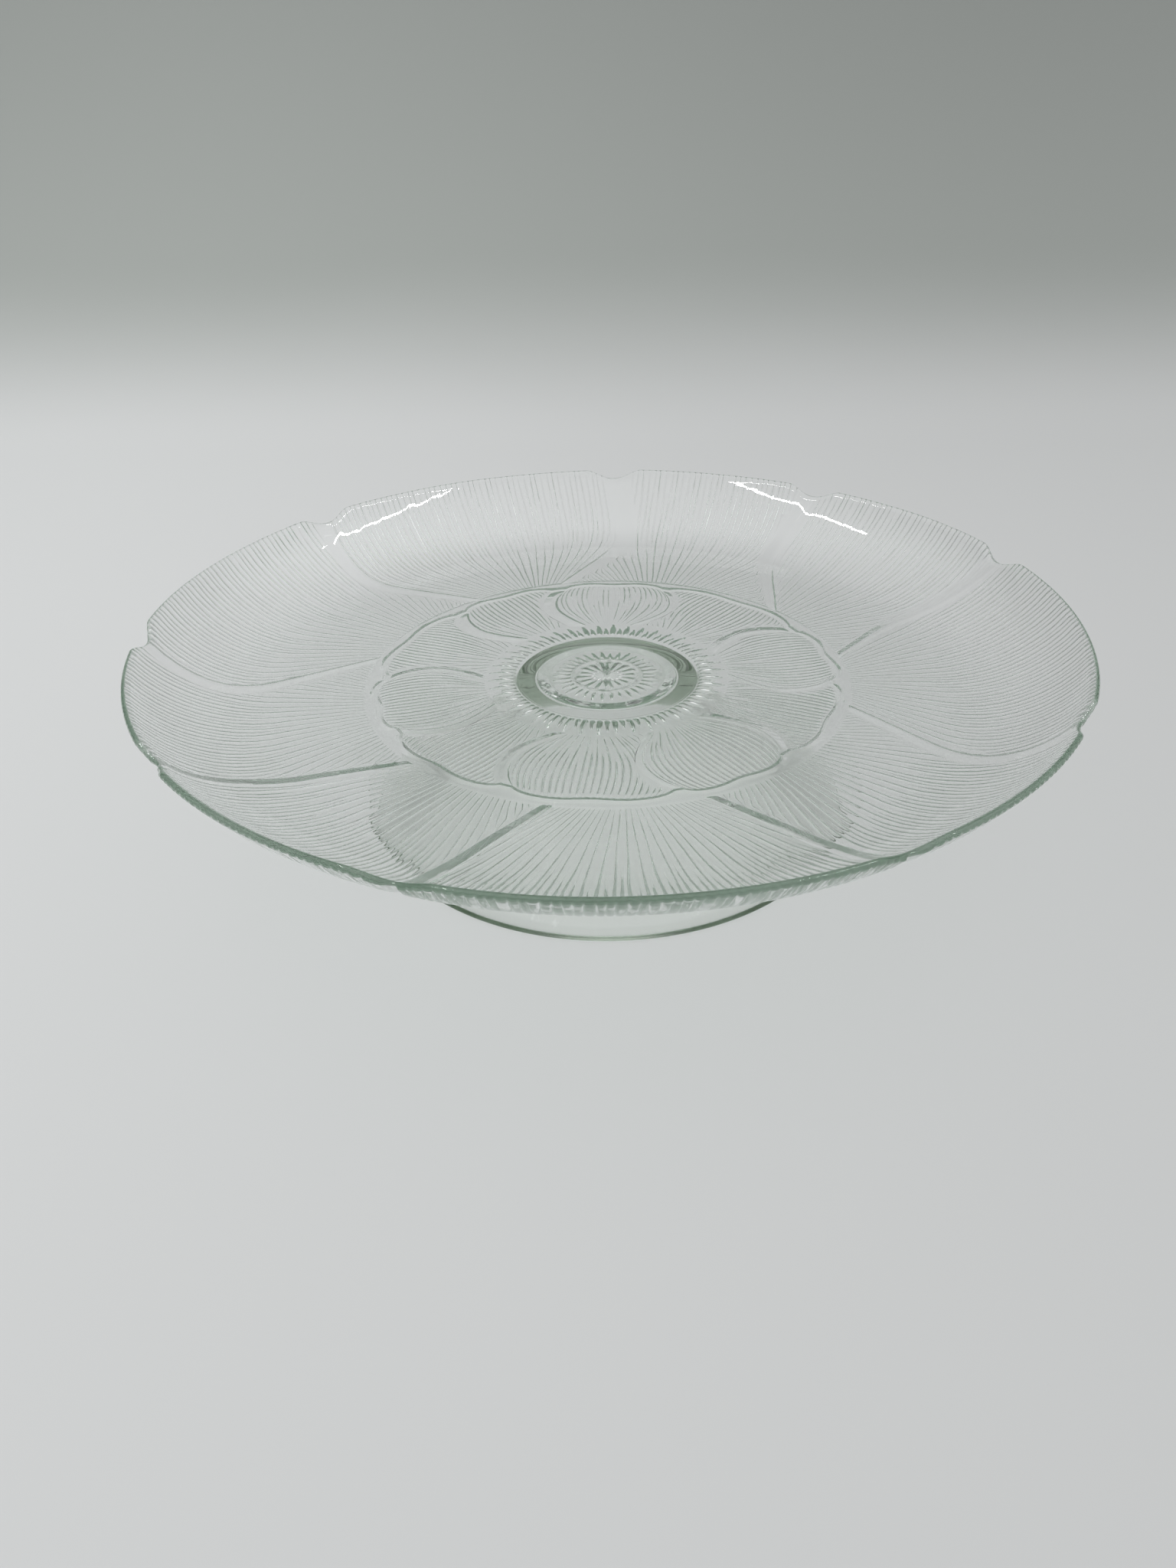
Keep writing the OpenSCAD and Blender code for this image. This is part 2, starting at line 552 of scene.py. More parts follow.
@dataclass(frozen=True)
class Petal:
    """One petal of a ring.

    Attributes:
        bearing: bearing of its middle.
        before: its edge at the lower bearing.
        after: its edge at the higher bearing.
        bold: depth of its grooves, as a share of the ring's.
    """

    bearing: float
    before: Edge = UNDER
    after: Edge = UNDER
    bold: float = 1.0


@dataclass
class Joint:
    """The seam between two neighbouring petals.

    Attributes:
        lap: how the petal before the seam lies.
        start: bearing where the petal before it ends, at each row.
        end: bearing where the petal after it starts, at each row.
        deep: depth of the seam, as a share of the depth that its width would give.
    """

    lap: Lap
    start: Array
    end: Array
    deep: float

    def at(self, away: Array) -> Array:
        """Bearings by row, at shares of the seam's width counted from the petal that lies over."""
        share = away if self.lap is Lap.OVER else 1.0 - away
        return self.start[:, None] + (self.end - self.start)[:, None] * share


@dataclass
class Relief:
    """Columns of points that a ring of petals lays over a set of rows.

    Attributes:
        bearing: bearing of each point, by row and column.
        depth: depth of the relief at each point.
        across: place of each column in its petal at the last row, from -1 to 1 between its edges.
    """

    bearing: Array
    depth: Array
    across: Array


@dataclass(frozen=True)
class PetalRing:
    """A ring of ribbed petals that lap over one another, with a seam along each lap.

    Attributes:
        petals: the petals, in order of bearing.
        start: distance from the axis where the petals start.
        end: distance where they end.
        spread: outline that the fan of ribs follows.
        shoulder: half angle that an outline loses over the first stretch past its widest.
        seam_grow: share of its width that a seam gains on the way out.
        rib_turn: angle between ribs where the fan is widest.
        over_fan: least half angle of the fan on a petal that lies over.
        under_fan: least half angle of the fan on a petal that lies under.
        rib_slope: depth of the grooves between ribs, as a share of a rib's width.
        wander: how far a rib strays on a long and on a short wave, as shares of its width.
        seam_slope: depth of a seam beside the petal that lies over, as a share of the seam's width.
        split: distances between which every second groove fades in.
        wave_run: distance over which each wave of the wander advances by a radian.
        wave_lead: radians by which each of these waves leads from one rib to the next.
        split_stray: how far the place where a groove fades in varies among the grooves.
        rib_points: places of the columns in one rib, as shares of its width.
        narrow: power of the nearness to a groove that gives its depth.
        least: least strength of a groove.
        uneven: how far the strength varies among grooves, and along each.
        run: shortest distance over which it varies by a radian, and how much longer that may be.
        fade: distance from the petal's edge over which the grooves come in.
        seam_points: places of the columns in a seam, as shares of its width.
        seam_step: share of its width that the seam's steep side takes.
        seam_most: greatest depth of a seam.
        stretch: length of the shoulder's first stretch.
        opening: power of the distance still to go by which an outline opens.
    """

    petals: tuple[Petal, ...]
    start: float
    end: float
    spread: Edge
    shoulder: float
    seam_grow: float
    rib_turn: float
    over_fan: float
    under_fan: float
    rib_slope: float
    wander: Point
    seam_slope: float
    split: Point
    wave_run: Point = (9.0, 4.1)
    wave_lead: Point = (1.7, -2.3)
    split_stray: float = 14.0
    rib_points: tuple[float, ...] = (0.0, 0.16, 0.36, 0.64, 0.84)
    narrow: float = 3.6
    least: float = 0.9
    uneven: Point = (0.18, 0.08)
    run: Point = (3.5, 4.0)
    fade: float = 2.2
    seam_points: tuple[float, ...] = (0.04, 0.12, 0.18, 0.5, 0.86, 0.95)
    seam_step: float = 0.15
    seam_most: float = 1.05
    stretch: float = 17.0
    opening: float = 1.8

    def half(self, edge: Edge, rows: Array) -> Array:
        """Half angle of a petal's outline.

        It opens from base to widest by a power of the distance still to go, and past that it closes
        by the square of the distance gone.

        Args:
            edge: the petal's edge.
            rows: distance of each row from the axis.

        Returns:
            The half angle at each row, in degrees.
        """
        to_go = np.clip((edge.widest_at - rows) / (edge.widest_at - self.start), 0.0, 1.0)
        gone = np.clip(rows - edge.widest_at, 0.0, None) / self.stretch
        return edge.widest - (edge.widest - edge.base) * to_go**self.opening - self.shoulder * gone**2

    def _seam_turn(self, edge: Edge, rows: Array) -> Array:
        """Angle that an edge's seam takes up; its width grows as a quarter wave of a sine.

        Args:
            edge: the petal's edge.
            rows: distance of each row from the axis.

        Returns:
            The angle at each row, in degrees.
        """
        share = np.clip((rows - self.start) / (self.end - self.start), 0.0, 1.0)
        grown = 1.0 - self.seam_grow + self.seam_grow * np.sin(np.pi / 2.0 * share)
        return np.degrees(edge.seam * grown / rows)

    def joints(self, rows: Array) -> list[Joint]:
        """The seam after each petal.

        Args:
            rows: distance of each row from the axis.

        Returns:
            One seam for each petal, in the petals' order.
        """
        found: list[Joint] = []
        for place, petal in enumerate(self.petals):
            if petal.after.lap is Lap.OVER:
                line = petal.bearing + self.half(petal.after, rows)
                across = self._seam_turn(petal.after, rows)
                found.append(Joint(Lap.OVER, line, line + across, petal.after.deep))
            else:
                turns, coming = divmod(place + 1, len(self.petals))
                neighbour = self.petals[coming]
                line = neighbour.bearing + TURN * turns - self.half(neighbour.before, rows)
                across = self._seam_turn(neighbour.before, rows)
                found.append(Joint(Lap.UNDER, line - across, line, neighbour.before.deep))
        return found

    def lay(self, rows: Array) -> Relief:
        """Lays the ring over rows at given distances from the axis.

        Args:
            rows: distance of each row from the axis.

        Returns:
            The columns of all petals and seams, in order of bearing.
        """
        joints = self.joints(rows)
        parts: list[Relief] = []
        for place, joint in enumerate(joints):
            first = joints[place - 1].end - TURN * (place == 0)
            parts.append(self._petal(place, rows, first, joint.start))
            parts.append(self._seam(joint, rows))
        return Relief(np.concatenate([part.bearing for part in parts], axis=1),
                      np.concatenate([part.depth for part in parts], axis=1),
                      np.concatenate([part.across for part in parts]))

    def _petal(self, place: int, rows: Array, start: Array, end: Array) -> Relief:
        """Ribs of one petal.

        A rib keeps its share of the fan from row to row, with a slow wander, and stops at the petal's
        edge. Depth is a high power of the nearness to a groove, so that broad reeds meet in fine grooves.

        Args:
            place: number of the petal in its ring.
            rows: distance of each row from the axis.
            start: bearing of the petal's first edge at each row.
            end: bearing of its other edge at each row.

        Returns:
            The petal's columns.
        """
        petal = self.petals[place]
        least = self.under_fan if UNDER in (petal.before, petal.after) else self.over_fan
        fan = np.hypot(self.half(self.spread, rows), least)
        step = self.rib_turn / fan.max()
        lowest = np.floor(((start - petal.bearing) / fan).min() / step) - 1.0
        highest = np.ceil(((end - petal.bearing) / fan).max() / step) + 1.0
        phase = (np.arange(lowest, highest + 1.0)[:, None] + np.array(self.rib_points)).reshape(-1)
        radius = rows[:, None]
        stray = sum(size * np.sin(radius / run + lead * phase)
                    for size, run, lead in zip(self.wander, self.wave_run, self.wave_lead))
        bearing = petal.bearing + (phase + stray) * step * fan[:, None]
        bearing = np.clip(bearing, start[:, None], end[:, None])
        room = np.minimum(bearing - start[:, None], end[:, None] - bearing) * np.radians(radius)
        groove = np.round(phase)
        sharp = (1.0 - 2.0 * np.abs(phase - groove)) ** self.narrow
        fine = ease(*self.split, radius + self.split_stray * (scatter(groove, place + 0.5) - 0.5))
        among, along = self.uneven
        shortest, longer = self.run
        run = shortest + longer * scatter(groove, place + 0.2)
        wave = np.sin(radius / run + TURN * scatter(groove, place + 0.7))
        strength = self.least + among * scatter(groove, place + 0.1) + along * wave
        strength = strength * (1.0 - (groove % 2.0) * (1.0 - fine)) * ease(0.0, self.fade, room)
        width = np.radians(step * fan[:, None]) * radius
        depth = self.rib_slope * petal.bold * width * strength * sharp
        middle = (start[-1] + end[-1]) / 2.0
        across = (bearing[-1] - middle) / ((end[-1] - start[-1]) / 2.0)
        return Relief(bearing, depth, across)

    def _seam(self, joint: Joint, rows: Array) -> Relief:
        """Inner columns of a seam: a steep step at the petal that lies over, then a broad even slope.

        Args:
            joint: the seam.
            rows: distance of each row from the axis.

        Returns:
            The seam's columns.
        """
        away = np.array(self.seam_points)
        away = away if joint.lap is Lap.OVER else away[::-1]
        width = np.radians(joint.end - joint.start) * rows
        profile = np.interp(away, [0.0, self.seam_step, 1.0], [0.0, 1.0, 0.0])
        deepest = np.minimum(self.seam_slope * width, self.seam_most) * joint.deep
        return Relief(joint.at(away), deepest[:, None] * profile, np.ones(len(away)))


@dataclass(frozen=True)
class Spikes:
    """A ring of pointed grooves that narrow outwards.

    Attributes:
        count: number of grooves.
        samples: columns to a groove.
        depth: depth of a groove along its middle.
        start: distances from the axis between which the grooves come in.
        tip: distance of the nearest tips.
        by_turns: how much further out every second tip lies.
        stray: how much further out a tip may lie by chance.
        seed: seed of that chance.
        taper: length over which a groove narrows.
        widest: greatest width, as a share of the room that a groove has.
        narrowest: least width, as such a share.
    """

    count: int
    samples: int
    depth: float
    start: Point
    tip: float
    by_turns: float
    stray: float
    seed: float
    taper: float
    widest: float
    narrowest: float = 0.02

    def phase(self) -> Array:
        """Place of each column, counted in grooves."""
        return np.arange(self.count * self.samples) / self.samples

    def bearing(self) -> Array:
        """Bearing of each column."""
        return even_bearings(self.count * self.samples)

    def relief(self, radius: Array) -> Array:
        """Depth of the grooves, which falls evenly from a groove's middle to sides that close in on its tip.

        Args:
            radius: distance of each row from the axis, as one column.

        Returns:
            Depth by row and column.
        """
        phase = self.phase()
        groove = np.round(phase)
        away = np.abs(phase - groove) * 2.0
        tip = self.tip + self.by_turns * (groove % 2) + self.stray * scatter(groove % self.count, self.seed)
        width = np.clip((tip - radius) / self.taper, self.narrowest, self.widest)
        slope = np.clip(1.0 - away / width, 0.0, 1.0)
        return self.depth * slope * ease(*self.start, radius) * (radius < tip)


@dataclass(frozen=True)
class Star:
    """The star in the middle: rays, a round channel, a ring of wedges, and a ledge inside the foot's seat.

    Attributes:
        rows: distances of its rows from the axis.
        ray_depth: depth of the grooves between rays.
        ray_end: length of the shortest ray, and how much longer a ray may be.
        ray_seed: seed of the rays' lengths.
        ray_fade: stretches before and past a ray's end over which it fades out.
        channel_depth: depth of the channel.
        channel_in: distances between which its inner side falls.
        channel_out: distances between which its outer side rises.
        wedges: the wedges; there is a ray to every second one.
        ledge_depth: depth of the ledge where it is deepest.
        ledge_start: distance where it starts.
        ledge_run: length over which it slopes.
        ledge_end: distance where it ends.
    """

    rows: tuple[float, ...] = (1.0, 2.4, 4.0, 5.6, 7.2, 8.8, 10.2, 11.4, 12.4, 13.2, 14.2, 15.4, 16.6, 17.8,
                               19.0, 20.2, 21.2, 21.6, 23.3, 25.0, 25.3, 25.6)
    ray_depth: float = 0.6
    ray_end: Point = (9.5, 2.5)
    ray_seed: float = 0.3
    ray_fade: Point = (1.5, 0.5)
    channel_depth: float = 0.6
    channel_in: Point = (11.2, 12.4)
    channel_out: Point = (12.8, 14.2)
    wedges: Spikes = Spikes(count=34, samples=8, depth=0.6, start=(12.4, 14.0), tip=17.6, by_turns=0.0,
                            stray=2.0, seed=0.8, taper=4.5, widest=1.0)
    ledge_depth: float = 1.3
    ledge_start: float = 21.4
    ledge_run: float = 4.0
    ledge_end: float = 25.5

    def relief(self, radius: Array) -> Array:
        """Depth of the star: the deepest of its forms at each point. Rays are a triangle wave round the axis.

        Args:
            radius: distance of each row from the axis, as one column.

        Returns:
            Depth by row and column.
        """
        phase = self.wedges.phase() / 2.0
        beam = np.round(phase)
        slope = np.abs(phase - beam) * 2.0
        shortest, longer = self.ray_end
        length = shortest + longer * scatter(beam % (self.wedges.count / 2.0), self.ray_seed)
        before, past = self.ray_fade
        ray = self.ray_depth * (1.0 - ease(length - before, length + past, radius)) * (1.0 - slope)
        fall = self.channel_depth * ease(*self.channel_in, radius)
        channel = fall * (1.0 - ease(*self.channel_out, radius))
        sloped = np.clip((radius - self.ledge_start) / self.ledge_run, 0.0, 1.0)
        ledge = self.ledge_depth * sloped * (radius < self.ledge_end)
        return np.maximum(np.maximum(ray, ledge), np.maximum(channel, self.wedges.relief(radius)))


# Plate

@dataclass
class Plate:
    """The petal-edged dish: smooth above, with the flower pressed into its underside.

    Attributes:
        flat_t: thickness of the flat middle.
        rim_t: thickness of the wall at the rim.
        dish_r: radius of the curve that turns the rim up, on the upper face.
        rim_angle: angle of the rim's wall from level.
        thin_at: angle of the wall where it has thinned to rim_t.
        band: distances between which the plain band lies.
        band_depth: depth of the band where it is level.
        band_level: distance inside the band's outer edge where it has come level.
        band_lap: distance inside that edge where the outer petals' first row lies.
        band_line: distance past that edge where the outer petals rise from the band.
        band_rise: length of that rise.
        rib_rise: length over which the outer petals' ribs come in there.
        line_rows: distances of rows past that line.
        outer_rows: distances of the outer petals' other rows from the axis, on the flat.
        wall_rows: rows up the wall.
        edge_rows: rows round the rim's edge, counted with the faces that it joins.
        inner_rows: distances of the inner petals' rows between their start and end.
        inner_fade: stretches at an inner petal's start and end over which its ribs fade.
        end_reach: how far an inner petal's end reaches past that of its ring.
        end_dip: depth of the dip in that end, and its half width as a share of half the petal's.
        end_round: how far the corners of that end draw back, and the power by which they do.
        end_step: distance past the end, and depth there, for each row of the step to the band.
        stamens: the ring of stamens.
        stamen_rows: distances of their rows from the axis.
        star: the star.
        seat: distances between which the foot's seat lies.
        notch_depth: depth of a notch along the wall.
        notch_half: half the width of a notch.
        notch_at: place of a notch in its seam, as a share from the petal that lies over.
        fire: waves that fire leaves in the edge: height, number in a turn, and lead in radians.
        lip_run: length of the rounded lip inside the rim.
        lip_bend: radius of the rounded lip.
        top_columns: columns of the upper face.
        top_rows: rows of its wall, as shares of the wall's angle at the rim.
        top_in: distance from the foot of the wall to the first row on the flat.
        top_flat: distances of the flat's other rows from the axis.
        middle_columns: columns of the upper face's middle.
        middle_rows: distances of the middle's rows from the axis.
        dent: depth of the dents in the upper face over the seams.
        dent_half: half the width of such a dent.
        dent_at: place of a dent over its seam, as a share from the petal that lies over.
        dent_climb: shares of the wall between which the dents come in.
        uneven: height of the unevenness of the upper face's wall.
        uneven_climb: shares of the wall between which it comes in.
        uneven_seed: lead of its chance from row to row, and its seed.
        outer: the outer petals.
        inner: the inner petals.
    """

    flat_t: float = 4.0
    rim_t: float = 2.6
    dish_r: float = 50.0
    rim_angle: float = 57.0
    thin_at: float = 42.0
    band: Point = (82.2, 87.3)
    band_depth: float = 0.12
    band_level: float = 1.2
    band_lap: float = 0.6
    band_line: float = 0.3
    band_rise: float = 1.0
    rib_rise: float = 1.2
    line_rows: tuple[float, ...] = (0.0, 0.3, 0.7)
    outer_rows: tuple[float, ...] = (88.8, 92.0, 98.0, 105.5, 113.0)
    wall_rows: int = 9
    edge_rows: int = 9
    inner_rows: tuple[float, ...] = (45.2, 46.6, 50.0, 54.0, 58.0, 62.0, 66.0, 70.0, 74.0, 77.5, 79.6, 81.2)
    inner_fade: Point = (2.0, 1.6)
    end_reach: float = 1.0
    end_dip: Point = (1.3, 0.3)
    end_round: tuple[float, int] = (3.0, 6)
    end_step: tuple[Point, ...] = ((0.1, 0.03), (1.3, 0.5), (1.5, 0.51), (2.2, 0.3), (3.0, 0.14))
    stamens: Spikes = Spikes(count=88, samples=6, depth=0.7, start=(34.1, 34.9), tip=38.8, by_turns=3.2,
                             stray=1.2, seed=0.4, taper=5.0, widest=0.9)
    stamen_rows: tuple[float, ...] = (34.0, 34.8, 35.8, 37.0, 38.4, 39.8, 41.2, 42.6, 43.6)
    star: Star = Star()
    seat: Point = (26.2, 33.4)
    notch_depth: float = 4.0
    notch_half: float = 13.0
    notch_at: float = 0.35
    fire: tuple[Place, ...] = ((0.07, 7.0, 1.0), (0.06, 13.0, 4.0))
    lip_run: float = 1.6
    lip_bend: float = 3.2
    top_columns: int = 480
    top_rows: tuple[float, ...] = (0.996, 0.988, 0.98, 0.972, 0.964, 0.955, 0.93, 0.89, 0.84, 0.77, 0.68,
                                   0.58, 0.46, 0.34, 0.22, 0.12, 0.05)
    top_in: float = 2.0
    top_flat: tuple[float, ...] = (100.0, 75.0)
    middle_columns: int = 120
    middle_rows: tuple[float, ...] = (55.0, 35.0, 16.0)
    dent: float = 0.2
    dent_half: float = 4.5
    dent_at: float = 0.4
    dent_climb: Point = (0.3, 0.8)
    uneven: float = 0.05
    uneven_climb: Point = (0.2, 0.5)
    uneven_seed: Point = (0.37, 0.6)
    outer: PetalRing = PetalRing(
        petals=(Petal(29.5, after=over(9.0, 25.6, 137.0, 8.0, 0.45), bold=0.75),
                Petal(72.0),
                Petal(113.8, over(11.0, 25.6, 137.0, 9.0, 0.3), over(12.5, 24.3, 143.0, 7.5, 0.4)),
                Petal(157.0, after=over(11.5, 26.8, 145.0, 7.0, 0.6), bold=0.75),
                Petal(199.5, bold=0.75),
                Petal(240.0, over(16.0, 25.0, 140.0, 6.0)),
                Petal(274.4, over(15.5, 24.7, 137.0, 6.2), over(15.5, 24.7, 137.0, 6.0, 0.8)),
                Petal(314.0),
                Petal(355.5, over(12.0, 24.1, 145.0, 6.8, 0.6), over(12.0, 24.1, 130.0, 7.5, 0.6), 0.75)),
        start=88.0, end=165.0, spread=over(12.0, 25.0, 140.0, 0.0), shoulder=0.5, seam_grow=0.4,
        rib_turn=0.98, over_fan=4.0, under_fan=14.0, rib_slope=0.15, wander=(0.1, 0.05),
        seam_slope=0.28, split=(108.0, 145.0))
    inner: PetalRing = PetalRing(
        petals=(Petal(11.5, over(11.0, 22.0, 63.0, 3.0), over(11.0, 19.3, 63.0, 5.5), bold=0.8),
                Petal(50.0, bold=0.75),
                Petal(89.0, over(11.0, 22.0, 63.0, 3.0), over(11.0, 18.8, 63.0, 6.5), bold=0.55),
                Petal(122.0, after=over(11.0, 18.3, 63.0, 6.0), bold=0.7),
                Petal(160.0, bold=0.8),
                Petal(195.7, over(11.0, 20.3, 63.0, 4.5), over(11.0, 17.8, 63.0, 4.0), bold=0.8),
                Petal(229.0),
                Petal(263.0, over(11.0, 21.0, 63.0, 4.0)),
                Petal(302.5, over(11.0, 21.6, 63.0, 3.0), over(11.0, 17.8, 63.0, 4.5)),
                Petal(336.0)),
        start=44.2, end=82.2, spread=over(11.0, 20.0, 63.0, 0.0), shoulder=4.7, seam_grow=0.0,
        rib_turn=1.9, over_fan=4.0, under_fan=10.0, rib_slope=0.15, wander=(0.06, 0.0),
        seam_slope=0.11, split=(50.0, 58.0))

    def __post_init__(self) -> None:
        """Takes the plate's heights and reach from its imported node.

        The wall's under face leaves the flat on an arc of radius under_r. The arc runs into a second
        one, about the centre of the upper face's curve, where the wall has thinned to rim_t.
        """
        low, high = node_box("plate")
        self.low_z = low[2]
        self.top_z = self.low_z + self.flat_t
        self.rim_r = max(high[0], high[1], -low[0], -low[1])
        slope = np.radians(self.rim_angle)
        self.flat_r = self.rim_r - self.rim_t / 2.0 - (self.dish_r + self.rim_t / 2.0) * np.sin(slope)
        thin = self.dish_r + self.rim_t
        share = np.cos(np.radians(self.thin_at))
        self.under_r = (self.dish_r + self.flat_t - thin * share) / (1.0 - share)
        self.apart = self.under_r - thin

    def rim_at(self, bearing: Array) -> Array:
        """Angle of the wall at the rim, which is less in the notches.

        A notch takes depth * (1 - x * x) squared off the wall's length, where x runs from -1 to 1
        across it. Slow waves, less than a tenth of a millimetre high, leave the edge as fire leaves it.

        Args:
            bearing: bearings to look at.

        Returns:
            The wall's last angle at each bearing, in degrees.
        """
        share_at = np.array([self.notch_at])
        middles = [joint.at(share_at)[0, 0] for joint in self.outer.joints(np.array([self.rim_r]))]
        away = (bearing[..., None] - np.array(middles) + TURN / 2.0) % TURN - TURN / 2.0
        share = np.clip(np.radians(away) * self.rim_r / self.notch_half, -1.0, 1.0)
        cut = (self.notch_depth * (1.0 - share**2) ** 2).sum(axis=-1)
        angle = np.radians(bearing)
        wave = sum(height * np.sin(number * angle + lead) for height, number, lead in self.fire)
        return self.rim_angle - np.degrees((cut + wave) / self.dish_r)

    def under_reach(self, angle: Array) -> Array:
        """Distance of the wall's under face from the centre of the upper face's curve.

        By the cosine rule it is sqrt(under_r² - apart² * sin²) - apart * cos of the angle still to go
        to where the wall is thin, with apart the distance between the two arcs' centres.

        Args:
            angle: angle of the wall from level, in degrees.

        Returns:
            The distance at each angle.
        """
        to_go = np.radians(np.clip(self.thin_at - angle, 0.0, None))
        return np.sqrt(self.under_r**2 - (self.apart * np.sin(to_go)) ** 2) - self.apart * np.cos(to_go)

    def under(self, radius: Array, bearing: Array, depth: Array) -> Array:
        """Points of the flat underside, raised into the glass by the relief's depth."""
        return round_axis(radius, self.low_z + depth, bearing)

    def curve(self, angle: Array, reach: Array, bearing: Array, past: Array) -> Array:
        """Points of the upturned wall, about the centre of its upper face's curve.

        Args:
            angle: angle of the wall from level, in degrees.
            reach: distance from the centre.
            bearing: bearing of each point.
            past: distance further on along the wall, square to the reach.

        Returns:
            The points.
        """
        turn = np.radians(angle)
        return round_axis(self.flat_r + reach * np.sin(turn) + past * np.cos(turn),
                          self.top_z + self.dish_r - reach * np.cos(turn) + past * np.sin(turn), bearing)

    def lip(self, below: Array) -> Array:
        """How far the rounded lip leaves the upper face's curve: a parabola of the run into the lip."""
        return np.clip(self.lip_run - below, 0.0, None) ** 2 / (2.0 * self.lip_bend)

    def build(self, material: bpy.types.Material) -> None:
        """Builds the dish from its middle, out under it, round the rim and back over the top.

        Args:
            material: the glass.
        """
        shell = Shell()
        star, star_bearing = self._star(shell)
        stamens, stamen_bearing = self._stamens(shell)
        shell.zip(star, star_bearing, stamens[0], stamen_bearing)
        first, first_bearing, band, band_bearing = self._inner_petals(shell)
        shell.zip(stamens[-1], stamen_bearing, first, first_bearing)
        base, base_bearing, rim, rim_bearing = self._outer_petals(shell)
        shell.zip(band, band_bearing, base, base_bearing)
        self._top(shell, rim, rim_bearing)
        piece = shell.write("petal_dish", material)
        fit(piece, "plate")

    def _star(self, shell: Shell) -> tuple[Index, Array]:
        """The star, out to the foot's seat.

        Args:
            shell: the skin to add to.

        Returns:
            Numbers and bearings of the last loop.
        """
        bearing = self.star.wedges.bearing()
        radius = np.array(self.star.rows + self.seat)[:, None]
        numbers = shell.add(self.under(radius, bearing, self.star.relief(radius)))
        shell.close_start(np.array((0.0, 0.0, self.low_z + self.star.ray_depth / 2.0)), numbers[0])
        shell.skin(numbers)
        return numbers[-1], bearing

    def _stamens(self, shell: Shell) -> tuple[Index, Array]:
        """The ring of stamens, in two lengths by turns.

        Args:
            shell: the skin to add to.

        Returns:
            Numbers of all rows, and the columns' bearings.
        """
        bearing = self.stamens.bearing()
        radius = np.array(self.stamen_rows)[:, None]
        numbers = shell.add(self.under(radius, bearing, self.stamens.relief(radius)))
        shell.skin(numbers)
        return numbers, bearing

    def _inner_petals(self, shell: Shell) -> tuple[Index, Array, Index, Array]:
        """The inner petals and the band around them.

        Rows are stretched so that the last one follows the petals' wavy ends: a dip in the middle of
        each petal, and rounded corners beside the seams. The band dips at once past the ends, then
        comes level.

        Args:
            shell: the skin to add to.

        Returns:
            Numbers and bearings of the first loop and of the last.
        """
        start, nominal = self.inner.start, self.inner.end
        rows = np.array((start, *self.inner_rows, nominal))
        ring = self.inner.lay(rows)
        dip, dip_half = self.end_dip
        draw, power = self.end_round
        bell = np.exp(-((ring.across / dip_half) ** 2))
        end = nominal + self.end_reach - dip * bell - draw * np.abs(ring.across) ** power
        radius = start + (rows[:, None] - start) * (end - start) / (nominal - start)
        fade_in, fade_out = self.inner_fade
        fade = ease(start, start + fade_in, rows[:, None])
        close = ease(nominal - fade_out, nominal, rows[:, None])
        depth = ring.depth * fade * (1.0 - close)
        numbers = shell.add(self.under(radius, ring.bearing, depth))
        shell.skin(numbers)
        edge = ring.bearing[-1]
        beyond, drop = (np.array(part)[:, None] for part in zip(*self.end_step))
        level_at = np.full_like(end, self.band[1] - self.band_level)
        level = self.under(level_at, edge, np.array(self.band_depth))
        band = shell.add(np.concatenate((self.under(end + beyond, edge, drop), level[None])))
        shell.skin(np.concatenate((numbers[-1:], band)))
        return numbers[0], ring.bearing[0], band[-1], edge

    def _outer_petals(self, shell: Shell) -> tuple[Index, Array, Index, Array]:
        """The outer petals, from the band up the wall, and the half-round edge of the rim.

        Args:
            shell: the skin to add to.

        Returns:
            Numbers and bearings of the first loop, at the band, and of the last, inside the rim.
        """
        line = self.band[1] + self.band_line
        near = (self.band[1] - self.band_lap, *(line + past for past in self.line_rows))
        flat = np.array(near + self.outer_rows)
        climb = np.linspace(0.0, 1.0, self.wall_rows)
        whole = self.rim_angle * climb
        level = self.flat_r + self.under_reach(whole) * np.sin(np.radians(whole))
        ring = self.outer.lay(np.concatenate((flat, level)))
        split = len(flat)
        at_band = np.interp(flat, [line, line + self.band_rise], [self.band_depth, 0.0])[:, None]
        grow = ease(line, line + self.rib_rise, flat[:, None])
        relief = np.maximum(at_band, ring.depth[:split] * grow)
        low = self.under(flat[:, None], ring.bearing[:split], relief)
        bearing = ring.bearing[split:]
        depth = ring.depth[split:]
        angle = self.rim_at(bearing) * climb[:, None]
        high = self.curve(angle, self.under_reach(angle) - depth, bearing, np.array(0.0))
        around = np.radians(np.linspace(0.0, 180.0, self.edge_rows)[1:-1])[:, None]
        outer_reach = self.under_reach(angle[-1])
        inner_reach = self.dish_r + self.lip(np.array(0.0))
        half = (outer_reach - inner_reach) / 2.0 - depth[-1] * np.clip(np.cos(around), 0.0, 1.0)
        middle = (outer_reach + inner_reach) / 2.0
        edge = self.curve(angle[-1], middle + half * np.cos(around), bearing[-1], half * np.sin(around))
        numbers = shell.add(np.concatenate((low, high, edge)))
        shell.skin(numbers)
        return numbers[0], ring.bearing[0], numbers[-1], bearing[-1]

    def _dents(self, rows: Array, bearing: Array) -> Array:
        """Shallow dents in the upper face over the seams, as a bell curve of the distance from each seam.

        Args:
            rows: distance of each row from the axis.
            bearing: bearings of the columns.

        Returns:
            Depth by row and column.
        """
        share_at = np.array([self.dent_at])
        lines = np.concatenate([joint.at(share_at) for joint in self.outer.joints(rows)], axis=1)
        away = (bearing[None, :, None] - lines[:, None, :] + TURN / 2.0) % TURN - TURN / 2.0
        distance = np.radians(away) * rows[:, None, None]
        return self.dent * np.exp(-((distance / self.dent_half) ** 2)).sum(axis=-1)

